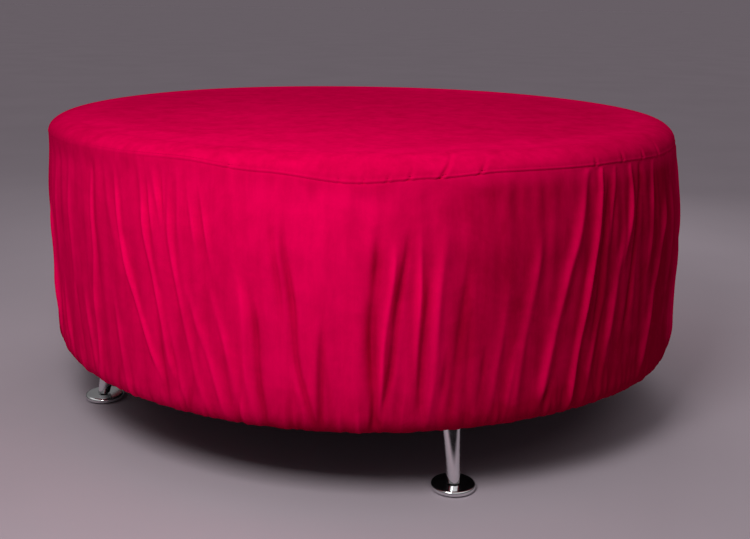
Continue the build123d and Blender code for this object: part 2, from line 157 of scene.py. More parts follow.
# Height of the seam above its mean level, once round the cover, as pairs of degrees and millimetres
SEAM_WANDER = (
    (-171, 7), (-150, 10), (-133, 13), (-120, 5), (-107, -5), (-96, 1), (-86, 6), (-66, 4), (-47, -1),
    (0, 3), (50, -2), (100, 4), (150, 1), (189, 7),
)

# Broad strokes of painted light and shade round the band: where and how wide in degrees, and how much
# lighter. On the side facing the camera they paint it lighter towards the key light on the left and darker on
# the right; on the far side they only vary the tone
SIDE_LIGHT_SHADE_AND_TONE = (
    (-165, 16, 0.5), (-141, 9, 0.22), (-113, 12, 0.5), (-86, 9, -0.85), (-69, 10, -0.95),
    (-49, 11, -1.35), (5, 16, 0.25), (48, 14, -0.3), (92, 18, 0.2), (140, 14, -0.25),
)

# Painted shade on the lower half of the band alone, at the right of the side that faces the camera
LOW_PAINTED_SHADE = ((-64, 18, -0.5),)

# Strokes of the painted shade along the bottom edge: how much more or less than its usual share, none on the
# left of the side that faces the camera
BOTTOM_SHADE_STROKES = ((-148, 24, -1), (-114, 12, 0.4), (-58, 20, 0.6))

# Strokes of the shape: right end of the shown side, its sagging bottom edge, smooth left end of the seam
RIGHT_END = ((-36, 14, 1),)
FOOT_SAG = ((-38, 22, 6 * MM),)
SMOOTH_SEAM = ((-155, 33, 1),)

# The right end stands out round one level and leans in from one level to another
BULGE, BULGE_LEVEL, BULGE_REACH = 5.0 * MM, 0.315, 0.08
LEAN, LEAN_LEVELS = 4.5 * MM, (0.31, 0.17)

# The side away from the camera, in degrees. Its folds and creases come from a seeded draw
HIDDEN_FROM, HIDDEN_TO = -41.0, 187.0
HIDDEN_CREASES = 26

# The low folds of the shown side slant towards this angle
DRAWN_TO = -107.0

# Millimetres: the top of a fold that is sewn into the seam, and the fold height that gets the full painted
# highlight on its crest
SEWN_TOP, FULL_PAINTED_CREST = 437, 7.0

# How many widths a fold reaches to either side
FOLD_REACH = 7

# Rows of the two cloths that are tucked into the seam: how far in, and how far from its level
TUCKS = ((4.0 * MM, 0.2 * MM), (7.0 * MM, 0.5 * MM))

# The rounded rim and the crown of the seat
RIM_IN, RIM_DOWN, CROWN = 36 * MM, 28 * MM, 5 * MM
RIM_PATH = 1.3 * RIM_DOWN

# Square soft lights: place, size and the setting that holds the power
LIGHTS = {
    "key_light": ((-0.66, -1.06, 1.22), 0.5, "key_power"),
    "back_light": ((0.85, 1.25, 1.3), 0.9, "back_power"),
}
LIGHT_AIM = Vector((0.0, 0.0, 0.28))
LIGHT_SPREAD, SKY_SPREAD = radians(160.0), radians(100.0)

# The studio's colours at the horizon and higher up: as it is seen, and as polished metal mirrors it
STUDIO_TOP = 0.7
SEEN_STUDIO = ((0.1357, 0.1133, 0.1302, 1.0), (0.08, 0.074, 0.08, 1.0))
MIRRORED_STUDIO = ((0.012, 0.011, 0.012, 1.0), (0.3, 0.295, 0.3, 1.0))

# The floor, and the distances between which its mirror image fades to a share of its colour
FLOOR_REACH, FLOOR_CELLS = 60.0, 12
MIRRORED_FADE, MIRRORED_SHARE = (0.68, 0.9), 0.03


class CoverSettings(bpy.types.PropertyGroup):
    """Sizes and colours of the cover"""
    # The lit and the shaded tone of one cloth: the mix between them carries random tone and the painted light
    # and shade
    colour: FloatVectorProperty(
        name="Colour", description="Cloth where the nap lies towards the light", subtype="COLOR",
        min=0.0, max=1.0, default=(0.92, 0.0, 0.095))
    shade: FloatVectorProperty(
        name="Shade", description="Cloth where the nap lies the other way", subtype="COLOR",
        min=0.0, max=1.0, default=(0.34, 0.0, 0.024))
    fold_scale: FloatProperty(
        name="Fold scale", description="Multiplies the height of all folds", default=1.0, min=0.0, max=2.0)
    hidden_folds: IntProperty(
        name="Hidden folds", description="Folds on the side away from the camera", default=36, min=0, max=90)
    low_folds: IntProperty(
        name="Low folds", description="Soft folds in the lower half of the band", default=90, min=0, max=300)
    seed: IntProperty(name="Seed", description="Starts the draw of the uneven cloth", default=7, min=0)
    side_swell: FloatProperty(
        name="Side swell", description="How far the band stands out between the seam and the bottom",
        unit="LENGTH", default=7.0 * MM)
    foot_swell: FloatProperty(
        name="Foot swell", description="How much further the band stands out near the bottom",
        unit="LENGTH", default=2.5 * MM)
    gather_height: FloatProperty(
        name="Gather height", description="Height of the small gathers along the bottom edge",
        unit="LENGTH", default=0.4 * MM)
    seam_groove: FloatProperty(
        name="Seam groove", description="How far the seam draws both cloths in",
        unit="LENGTH", default=0.85 * MM)
    seam_spread: FloatProperty(
        name="Seam spread", description="Distance from the seam over which the cloth rises to its full place",
        unit="LENGTH", default=2.6 * MM)
    bottom_creases: IntProperty(
        name="Bottom creases", description="Short creases along the bottom edge", default=230, min=0, max=600)
    stitch_pitch: FloatProperty(
        name="Stitch pitch", description="Spacing of the stitches along the seam",
        unit="LENGTH", default=4.5 * MM)
    bottom_round: FloatProperty(
        name="Bottom round", description="How far in the band turns under the base",
        unit="LENGTH", default=15.0 * MM)
    bottom_rise: FloatProperty(
        name="Bottom rise", description="Height over which the band turns under the base",
        unit="LENGTH", default=26.0 * MM)
    slump_top: FloatProperty(
        name="Slump at the seam", description="How far the soft body has shifted sideways at the seam",
        unit="LENGTH", default=-6.0 * MM)
    slump_bottom: FloatProperty(
        name="Slump at the bottom",
        description="How far the soft body has shifted sideways at the bottom edge",
        unit="LENGTH", default=4.0 * MM)
    slump_azimuth: FloatProperty(
        name="Slump direction", description="Direction of the sideways shift", subtype="ANGLE",
        default=radians(-16.7))
    columns: IntProperty(name="Columns", description="Mesh columns round the cover", default=1600, min=120)


class MetalSettings(bpy.types.PropertyGroup):
    """Colours of the legs and fittings"""
    chrome: FloatVectorProperty(
        name="Chrome", description="Polished legs and feet", subtype="COLOR",
        min=0.0, max=1.0, default=(0.86, 0.86, 0.87))
    steel: FloatVectorProperty(
        name="Steel", description="Plates, screws and staples", subtype="COLOR",
        min=0.0, max=1.0, default=(0.52, 0.52, 0.5))


class StageSettings(bpy.types.PropertyGroup):
    """Floor, light and camera"""
    floor: FloatVectorProperty(
        name="Floor", description="Plain pale floor", subtype="COLOR",
        min=0.0, max=1.0, default=(0.43, 0.369, 0.414))
    key_power: FloatProperty(
        name="Key light", description="Soft light from the left", unit="POWER", default=11.3)
    back_power: FloatProperty(
        name="Back light", description="Soft light from behind on the right", unit="POWER", default=5.6)
    sky_strength: FloatProperty(
        name="Sky light", description="Weak even light from above", default=0.73, min=0.0, max=5.0)
    lens: FloatProperty(
        name="Lens", description="Focal length on a 36 mm sensor", subtype="DISTANCE_CAMERA", default=48.0)
    camera_distance: FloatProperty(
        name="Camera distance", description="From the middle of the ottoman, along the floor",
        unit="LENGTH", default=1.6708)
    camera_height: FloatProperty(
        name="Camera height", description="Above the floor", unit="LENGTH", default=0.6459)
    camera_offset: FloatProperty(
        name="Camera offset", description="Sideways, to the right", unit="LENGTH", default=0.0171)
    camera_azimuth: FloatProperty(
        name="Camera azimuth", description="Round the ottoman, from its front", subtype="ANGLE",
        default=radians(-16.7))
    camera_pitch: FloatProperty(
        name="Camera pitch", description="Below the horizon", subtype="ANGLE", default=0.2653)
    camera_roll: FloatProperty(
        name="Camera roll", description="About the line of sight", subtype="ANGLE", default=0.0151)


# Shader nodes
def node(tree, kind, inputs=None, **settings):
    """A shader node with its settings, and with a value or a link for each of its inputs."""
    made = tree.nodes.new(kind)
    for name, value in settings.items():
        setattr(made, name, value)
    for name, value in (inputs or {}).items():
        if isinstance(value, bpy.types.NodeSocket):
            tree.links.new(value, made.inputs[name])
        else:
            made.inputs[name].default_value = value
    return made


GROUP_OUTPUTS = {"Color": "NodeSocketColor", "Roughness": "NodeSocketFloat", "Height": "NodeSocketFloat"}
TUPLE_SOCKETS = {3: "NodeSocketVector", 4: "NodeSocketColor"}

# A mix node has sockets for every kind of value. These are the ones of colours
MIX_FIRST, MIX_SECOND, MIX_RESULT = 6, 7, 2


def new_group(name, inputs):
    """The node group of a finish, with named sockets. Gives its tree and what it is given."""
    tree = bpy.data.node_groups.new(name, "ShaderNodeTree")
    for label, value in inputs.items():
        kind = "NodeSocketFloat" if isinstance(value, float) else TUPLE_SOCKETS[len(value)]
        socket = tree.interface.new_socket(label, in_out="INPUT", socket_type=kind)
        socket.default_value = value
    for label, kind in GROUP_OUTPUTS.items():
        tree.interface.new_socket(label, in_out="OUTPUT", socket_type=kind)
    return tree, tree.nodes.new("NodeGroupInput").outputs


def noise(tree, place, scale, detail=4.0, roughness=0.55):
    """A noise texture at a place."""
    values = {"Vector": place, "Scale": scale, "Detail": detail, "Roughness": roughness}
    return node(tree, "ShaderNodeTexNoise", values).outputs["Fac"]


def stretched(tree, place, by):
    """A place with each of its axes multiplied."""
    return node(tree, "ShaderNodeVectorMath", {0: place, 1: by}, operation="MULTIPLY").outputs["Vector"]


def spread(tree, value, low, high, to_low=0.0, to_high=1.0):
    """Maps a value from one range to another, clamped."""
    values = {"Value": value, "From Min": low, "From Max": high, "To Min": to_low, "To Max": to_high}
    return node(tree, "ShaderNodeMapRange", values).outputs["Result"]


def arithmetic(tree, operation, first, second):
    """One sum or product."""
    return node(tree, "ShaderNodeMath", {0: first, 1: second}, operation=operation).outputs["Value"]


def mixed(tree, mask, first, second):
    """A colour between two, by a mask."""
    values = {"Factor": mask, MIX_FIRST: first, MIX_SECOND: second}
    return node(tree, "ShaderNodeMix", values, data_type="RGBA").outputs[MIX_RESULT]


def suede_nap_group():
    """Brushed nap of suede cloth: hand-sized marks, upright streaks and fine fibres, together with the
    painted light and shade that it is given.
    """
    tree, given = new_group("suede_nap", {
        "Light": (0.6, 0.0, 0.05, 1.0), "Dark": (0.4, 0.0, 0.03, 1.0),
        "Crest": 0.0, "Marks": 28.0, "Fibres": 900.0})
    place = node(tree, "ShaderNodeTexCoord").outputs["Object"]

    # Marks of hands, with edges bent by a slow warp
    warp = node(tree, "ShaderNodeTexNoise", {"Vector": place, "Scale": 9.0, "Detail": 2.0}).outputs["Color"]
    bent = node(tree, "ShaderNodeMixRGB", {"Fac": 0.06, "Color1": place, "Color2": warp}, blend_type="ADD")
    marks = spread(tree, noise(tree, bent.outputs["Color"], given["Marks"], 5.0, 0.62), 0.36, 0.64)

    # Slow changes of tone, streaks drawn out upright, and tufts of fibres
    broad = spread(tree, noise(tree, place, 3.5, 2.0), 0.35, 0.65)
    upright = stretched(tree, place, (1.0, 1.0, 0.12))
    streaks = spread(tree, noise(tree, upright, 75.0, 3.0, 0.6), 0.36, 0.64)
    fibres = noise(tree, place, given["Fibres"], 3.0, 0.7)
    tufts = spread(tree, fibres, 0.3, 0.7)

    # How light the cloth is, by the share of each: random tone from marks, broad changes, streaks and tufts,
    # and the painted light and shade it is given; then the range from dark to light
    tone_and_painted_light = 0.0
    for part, share in ((marks, 0.2), (broad, 0.1), (streaks, 0.13), (tufts, 0.1), (given["Crest"], 0.5)):
        tone_and_painted_light = arithmetic(tree, "ADD", tone_and_painted_light, arithmetic(tree, "MULTIPLY", part, share))
    tone_and_painted_light = spread(tree, tone_and_painted_light, -0.38, 0.89)
    node(tree, "NodeGroupOutput", {
        "Color": mixed(tree, tone_and_painted_light, given["Dark"], given["Light"]),
        "Roughness": spread(tree, tone_and_painted_light, 0.0, 1.0, 0.92, 0.78),
        "Height": arithmetic(tree, "ADD", fibres, arithmetic(tree, "MULTIPLY", marks, 0.2))})
    return tree


def fine_grain_group():
    """Uneven finish of a plain material: patches of colour, patches of gloss and a fine tooth."""
    tree, given = new_group("fine_grain", {
        "Light": (0.8, 0.8, 0.8, 1.0), "Dark": (0.6, 0.6, 0.6, 1.0),
        "Patches": 30.0, "Tooth": 900.0, "Smooth": 0.3, "Rough": 0.5})
    place = node(tree, "ShaderNodeTexCoord").outputs["Object"]
    patches = spread(tree, noise(tree, place, given["Patches"]), 0.35, 0.65)
    node(tree, "NodeGroupOutput", {
        "Color": mixed(tree, patches, given["Dark"], given["Light"]),
        "Roughness": spread(tree, patches, 0.0, 1.0, given["Smooth"], given["Rough"]),
        "Height": noise(tree, place, given["Tooth"], 3.0, 0.65)})
    return tree


def wood_grain_group():
    """Long grain along one direction, with darker growth lines."""
    tree, given = new_group("wood_grain", {
        "Light": (0.7, 0.5, 0.3, 1.0), "Dark": (0.5, 0.33, 0.18, 1.0),
        "Along": (6.0, 60.0, 60.0), "Lines": 1.0})
    along = stretched(tree, node(tree, "ShaderNodeTexCoord").outputs["Object"], given["Along"])
    grain = noise(tree, along, given["Lines"], 6.0, 0.6)
    node(tree, "NodeGroupOutput", {
        "Color": mixed(tree, spread(tree, grain, 0.35, 0.62), given["Dark"], given["Light"]),
        "Roughness": spread(tree, grain, 0.3, 0.7, 0.62, 0.8),
        "Height": grain})
    return tree


GROUP_MAKERS = {"suede_nap": suede_nap_group, "fine_grain": fine_grain_group, "wood_grain": wood_grain_group}


# Materials
class Grain(NamedTuple):
    """A fine-grained finish: two colours, patches and tooth per metre, roughness range, bump and depth."""
    light: tuple
    dark: tuple
    patches: float
    tooth: float
    roughness: tuple
    bump: tuple


PLAIN_FINISHES = {
    "pressed_hardboard": Grain(
        (0.3, 0.19, 0.1), (0.22, 0.13, 0.07), 200.0, 800.0, (0.55, 0.75), (0.2, 0.0004)),
    "yellow_foam": Grain((0.82, 0.74, 0.5), (0.72, 0.62, 0.38), 25.0, 700.0, (0.85, 0.95), (0.6, 0.001)),
    "white_wadding": Grain((0.86, 0.86, 0.84), (0.74, 0.74, 0.72), 60.0, 350.0, (0.85, 0.95), (0.6, 0.002)),
    "woven_elastic": Grain((0.78, 0.76, 0.72), (0.6, 0.58, 0.54), 700.0, 1200.0, (0.6, 0.8), (0.4, 0.0005)),
    "black_dust_cloth": Grain(
        (0.035, 0.035, 0.038), (0.016, 0.016, 0.018), 420.0, 1400.0, (0.75, 0.9), (0.5, 0.0006)),
    "socket_plastic": Grain(
        (0.07, 0.07, 0.07), (0.045, 0.045, 0.045), 150.0, 2000.0, (0.4, 0.55), (0.1, 0.0002)),
    "glide_rubber": Grain(
        (0.045, 0.045, 0.045), (0.025, 0.025, 0.025), 200.0, 1500.0, (0.65, 0.85), (0.3, 0.0003)),
}


def opaque(colour):
    """A colour with full alpha."""
    return tuple(colour) + (1.0,)


def dimmed(colour, share):
    """A share of a colour."""
    return tuple(share * channel for channel in colour)


def group_material(name, group, values, bump, **shader_values):
    """A material whose colour, roughness and relief come from one of the groups."""
    if name in bpy.data.materials:
        return bpy.data.materials[name]
    made = bpy.data.materials.new(name)
    made.use_nodes = True
    tree = made.node_tree
    shader = tree.nodes["Principled BSDF"].inputs
    for socket, value in shader_values.items():
        shader[socket.replace("_", " ").title().replace("Ior", "IOR")].default_value = value
    grouped = bpy.data.node_groups.get(group) or GROUP_MAKERS[group]()
    given = node(tree, "ShaderNodeGroup", values, node_tree=grouped)
    strength, depth = bump
    relief = {"Strength": strength, "Distance": depth, "Height": given.outputs["Height"]}
    tree.links.new(given.outputs["Color"], shader["Base Color"])
    tree.links.new(given.outputs["Roughness"], shader["Roughness"])
    tree.links.new(node(tree, "ShaderNodeBump", relief).outputs["Normal"], shader["Normal"])
    return made


def grained(name, grain, **shader_values):
    """A material of the fine grain group."""
    smooth, rough = grain.roughness
    values = {
        "Light": opaque(grain.light), "Dark": opaque(grain.dark), "Patches": grain.patches,
        "Tooth": grain.tooth, "Smooth": smooth, "Rough": rough}
    return group_material(name, "fine_grain", values, grain.bump, **shader_values)


def plain(name):
    """One of the finishes whose colours are fixed."""
    return grained(name, PLAIN_FINISHES[name])


def suede_cover(cover):
    """Suede, tinted by the painted light and shade kept in a point attribute of each piece: painted
    highlights along the crests of the folds, painted shade in their hollows, and broad painted light and
    shade.
    """
    made = group_material(
        "suede_cover", "suede_nap", {"Light": opaque(cover.colour), "Dark": opaque(cover.shade)},
        bump=(0.25, 0.0006), sheen_weight=0.06, sheen_roughness=0.4, sheen_tint=(1.0, 0.0, 0.12, 1.0),
        specular_ior_level=0.0)
    tree = made.node_tree
    group = next(n for n in tree.nodes if n.type == "GROUP")
    # Feeds each point's painted light and shade into the suede
    if not group.inputs["Crest"].is_linked:
        paint = node(tree, "ShaderNodeAttribute", attribute_name="crest")
        tree.links.new(paint.outputs["Fac"], group.inputs["Crest"])
    return made


def cover_thread(cover):
    """Matt thread in a darker tone of the cover."""
    light, dark = dimmed(cover.colour, 0.7), dimmed(cover.colour, 0.5)
    return grained(
        "cover_thread", Grain(light, dark, 400.0, 900.0, (0.7, 0.85), (0.3, 0.0003)), specular_ior_level=0.0)


def polished_chrome(metal):
    """Mirror-bright plating with faint clouding."""
    dark = dimmed(metal.chrome, 0.9)
    return grained(
        "polished_chrome", Grain(metal.chrome, dark, 45.0, 300.0, (0.05, 0.12), (0.02, 0.0002)), metallic=1.0)


def plated_steel(metal):
    """Dull plating of screws, plates and staples."""
    dark = dimmed(metal.steel, 0.75)
    return grained(
        "plated_steel", Grain(metal.steel, dark, 120.0, 1500.0, (0.28, 0.45), (0.12, 0.0003)), metallic=1.0)


def wood(name, light, dark, along, bump):
    """A material of the wood grain group."""
    values = {"Light": opaque(light), "Dark": opaque(dark), "Along": along}
    return group_material(name, "wood_grain", values, bump)


def birch_plywood():
    """Pale veneer with its grain along X."""
    return wood(
        "birch_plywood", (0.62, 0.45, 0.27), (0.5, 0.34, 0.19), along=(3.0, 40.0, 400.0), bump=(0.2, 0.0005))


def sawn_softwood():
    """Rough posts with upright grain."""
    return wood(
        "sawn_softwood", (0.68, 0.5, 0.31), (0.52, 0.34, 0.18), along=(70.0, 70.0, 5.0), bump=(0.3, 0.0006))


def pale_floor(stage):
    """Even floor. What polished metal mirrors of it fades to dark away from the ottoman."""
    made = grained(
        "pale_floor",
        Grain(stage.floor, dimmed(stage.floor, 0.96), 2.0, 120.0, (0.7, 0.8), (0.02, 0.0005)),
        specular_ior_level=0.0)
    tree = made.node_tree
    colour = tree.nodes["Principled BSDF"].inputs["Base Color"]
    even = colour.links[0].from_socket
    place = node(tree, "ShaderNodeTexCoord").outputs["Object"]
    reach = node(tree, "ShaderNodeVectorMath", {0: place}, operation="LENGTH").outputs["Value"]
    far = spread(tree, reach, *MIRRORED_FADE)
    mirrored = node(tree, "ShaderNodeLightPath").outputs["Is Glossy Ray"]
    dark = opaque(dimmed(stage.floor, MIRRORED_SHARE))
    tree.links.new(mixed(tree, arithmetic(tree, "MULTIPLY", far, mirrored), even, dark), colour)
    return made


# Meshes
def piece(name, points, faces, material):
    """A new object from points and faces, shaded smooth, with its material."""
    mesh = bpy.data.meshes.new(name)
    mesh.from_pydata(points, [], faces)
    mesh.validate()
    mesh.shade_smooth()
    mesh.materials.append(material)
    made = bpy.data.objects.new(name, mesh)
    bpy.context.scene.collection.objects.link(made)
    return made


def keep_painted_light(made, painted_shading):
    """Keeps the painted light and shade at each point of a piece, for its material."""
    kept = made.data.attributes.new("crest", "FLOAT", "POINT")
    kept.data.foreach_set("value", painted_shading.ravel().astype(np.float32))


def dress(made, slot, *nodes):
    """Puts a piece on the ottoman's body, in place of the frame's nodes. The slot is not used."""
    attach(made, BODY)
    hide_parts(*nodes)
    return made


def ring_faces(rows, columns, first=0):
    """Quads of a grid of rows that closes on itself along its columns, from its first point on."""
    row = np.arange(rows - 1)[:, None] * columns + first
    here = np.arange(columns)[None, :]
    after = (here + 1) % columns
    quads = np.stack([row + here, row + columns + here, row + columns + after, row + after], axis=-1)
    return quads.reshape(-1, 4).tolist()


def round_angles(columns, start=-np.pi):
    """Evenly spaced angles of one turn."""
    return np.linspace(start, start + tau, columns, endpoint=False)


def spun(profile, columns):
    """Points and faces of a closed ring-shaped solid, from an outline of radius and height."""
    angles = round_angles(columns, 0.0)
    radius, height = (np.array(values)[:, None] for values in zip(*profile))
    points = np.stack([
        radius * np.cos(angles), radius * np.sin(angles), np.repeat(height, columns, axis=1)], axis=-1)
    faces = np.array(ring_faces(len(profile) + 1, columns)) % (len(profile) * columns)
    return points.reshape(-1, 3), faces.tolist()


def eased(value, start, end):
    """Goes smoothly from 0 at start to 1 at end, upwards or downwards."""
    share = np.clip((value - start) / (end - start), 0.0, 1.0)
    return share * share * (3.0 - 2.0 * share)


def waves(angle, counts, phases, heights):
    """A sum of waves round the cover."""
    return sum(h * np.cos(n * angle + p) for n, p, h in zip(counts, phases, heights))


def seam_rise(angle):
    """How far the seam lies above its mean level round the cover, in metres."""
    at, rise = np.array(SEAM_WANDER, dtype=float).T
    at, rise = np.radians(at), rise * MM
    turned = (np.asarray(angle) - at[0]) % tau + at[0]
    span = np.clip(np.searchsorted(at, turned, side="right") - 1, 0, len(at) - 2)
    share = eased((turned - at[span]) / (at[span + 1] - at[span]), 0.0, 1.0)
    return rise[span] + (rise[span + 1] - rise[span]) * share


def seam_depth(cover, angle):
    """Depth of the groove at the seam, shallow on the left where the cloth lies smooth, in metres."""
    return cover.seam_groove * (1.0 - strokes(angle, SMOOTH_SEAM))


def slumped(cover, points):
    """Shifts soft points sideways, by an amount that changes from the bottom edge to the seam."""
    placed = np.array(points, dtype=float).reshape(-1, 3)
    share = np.clip((placed[:, 2] - HEM_LEVEL) / (SEAM_HEIGHT - HEM_LEVEL), 0.0, 1.0)
    shift = cover.slump_bottom + (cover.slump_top - cover.slump_bottom) * share
    placed[:, 0] += shift * cos(cover.slump_azimuth)
    placed[:, 1] += shift * sin(cover.slump_azimuth)
    return placed


def wrapped(angle):
    """An angle brought to the range from minus to plus half a turn."""
    return (angle + np.pi) % tau - np.pi


def ridge(offset, width):
    """A soft ridge, 1 at its middle."""
    return np.exp(-((offset / width) ** 2))


def strokes(angle, table):
    """Sum of broad soft strokes round the cover, each given by its place, width and strength."""
    return sum(
        strength * ridge(wrapped(angle - radians(place)), radians(width)) for place, width, strength in table)


def all_folds(cover):
    """The shown folds, and seeded draws of like folds behind, of low folds and of creases at the bottom."""
    draw = np.random.default_rng(cover.seed)
    folds = list(SHOWN_FOLDS)
    step = (HIDDEN_TO - HIDDEN_FROM) / max(cover.hidden_folds, 1)
    for index in range(cover.hidden_folds):
        angle = HIDDEN_FROM + step * (index + draw.uniform(0.2, 0.8))
        slant = draw.normal(0.0, 2.5)
        sewn = draw.random() < 0.65
        top = SEWN_TOP if sewn else draw.uniform(300, 400)
        foot = draw.uniform(112, 260 if sewn else 160)
        height = draw.uniform(3.5, 8.0) * (1 if draw.random() < 0.75 else -0.7)
        bow, width = draw.normal(0.0, 0.6), draw.uniform(5.0, 8.0)
        folds.append(Fold(angle, top, angle + slant, foot, bow, height, width))
    for angle in draw.uniform(-180.0, 180.0, cover.low_folds):
        top, foot = draw.uniform(190, 300), draw.uniform(105, 150)
        if angle < HIDDEN_FROM:
            slant = 3.0 * np.clip((DRAWN_TO - angle) / 25.0, -1.0, 1.0)
        else:
            slant = draw.normal(0.0, 2.0)
        height, width = draw.uniform(1.5, 3.2) * draw.choice((-1, 1)), draw.uniform(4.5, 7.0)
        folds.append(Fold(angle - slant / 2, top, angle + slant / 2, foot, 0.0, height, width))
    for angle in draw.uniform(-180.0, 180.0, cover.bottom_creases):
        top, slant = draw.uniform(135, 190), draw.normal(0.0, 0.8)
        height, width = draw.uniform(1.0, 2.6) * draw.choice((-1, 1)), draw.uniform(3.0, 4.5)
        folds.append(Fold(angle + slant, top, angle, 100, 0.0, height, width))
    return folds


def fold_relief(cover, angle, level):
    """Height of all folds over a grid of angles and levels, in metres, and a mask of painted light: a painted
    highlight along the crest of each raised fold and painted shade along each sunk fold.
    """
    draw = np.random.default_rng(cover.seed + 5)
    relief = np.zeros_like(level)
    crest = np.zeros_like(level)
    for fold in all_folds(cover):
        sway, turn, swing = draw.uniform(0.1, 0.3), draw.uniform(0, tau), draw.uniform(20, 45)
        top, foot = fold.top * MM, fold.foot * MM
        length = top - foot
        sewn = top >= SEAM_HEIGHT - 2 * MM

        # The columns that the fold reaches
        middle = radians((fold.top_angle + fold.foot_angle) / 2)
        lean = radians(abs(fold.top_angle - fold.foot_angle) / 2 + abs(fold.bow))
        reach = lean + FOLD_REACH * fold.width * MM / SEAM_RADIUS
        near = np.flatnonzero(np.abs(wrapped(angle[0] - middle)) < reach)
        part = np.ix_(np.arange(len(level)), near)
        here = level[part]

        # Its path in degrees, and the distance from it in widths
        share = (top - here) / length
        path = fold.top_angle + (fold.foot_angle - fold.top_angle) * share
        path = path + fold.bow * np.sin(np.pi * np.clip(share, 0.0, 1.0))
        path = path + sway * np.sin(swing * here + turn)
        across = wrapped(angle[part] - np.radians(path)) * SEAM_RADIUS / (fold.width * MM)

        # It fades at both ends, but a fold that is sewn into the seam starts there
        top_fade = 50 * MM if sewn else min(70 * MM, 0.6 * length)
        foot_fade = min(30 * MM if foot < 135 * MM else 80 * MM, 0.6 * length)
        life = eased(here, top, top - top_fade)
        if sewn:
            life = (0.4 + 0.6 * life) * eased(here, top, top - 6 * MM)
        life = life * eased(here, foot - foot_fade / 3, foot + foot_fade)

        # A rounded crest between two shallow hollows
        shape = (1 + across**2) ** -1.6 - 0.36 * ridge(across, 2.6)
        strength = 1.0 + 0.18 * np.cos(1.7 * swing * here + 2 * turn)
        relief[part] += fold.height * MM * life * shape * strength
        # Painted highlight along the crest of a raised fold, painted shade along a sunk one
        paint = np.clip(fold.height / FULL_PAINTED_CREST, -1.0, 1.0)
        crest[part] += paint * life * strength * np.exp(-1.2 * across**2)
    return relief * cover.fold_scale, np.clip(crest, -1.0, 1.0)


def cloth_unrest(cover, angle, level):
    """Soft unevenness of loose cloth: upright streaks and slow swells, in metres."""
    draw = np.random.default_rng(cover.seed + 1)
    rest = np.zeros_like(level)
    for count in (47, 61, 83, 109, 137, 163):
        phase = draw.uniform(0, tau)
        sway = draw.uniform(6, 16) * draw.choice((-1, 1))
        patch = 0.5 + 0.5 * np.cos(draw.integers(3, 9) * angle + draw.uniform(0, tau) + 9 * level)
        rest += 0.7 * MM * (47 / count) ** 0.4 * patch * np.cos(count * angle + phase + sway * level)
    for count in (2, 3, 5):
        rest += 0.9 * MM * np.cos(count * angle + draw.uniform(0, tau) + 6 * level)
    return rest


def bottom_gathers(cover, angle, level):
    """Small gathers along the bottom edge, in metres."""
    draw = np.random.default_rng(cover.seed + 2)
    ripple = waves(angle, (197, 233, 271), draw.uniform(0, tau, 3), (1.0, 0.8, 0.6))
    patch = waves(angle, (5, 9, 14), draw.uniform(0, tau, 3), (0.5, 0.4, 0.3))
    patch = 0.45 + 0.55 * eased(patch, -0.6, 0.6)
    near = eased(level, 175 * MM, 118 * MM)
    return cover.gather_height * ripple * patch * near


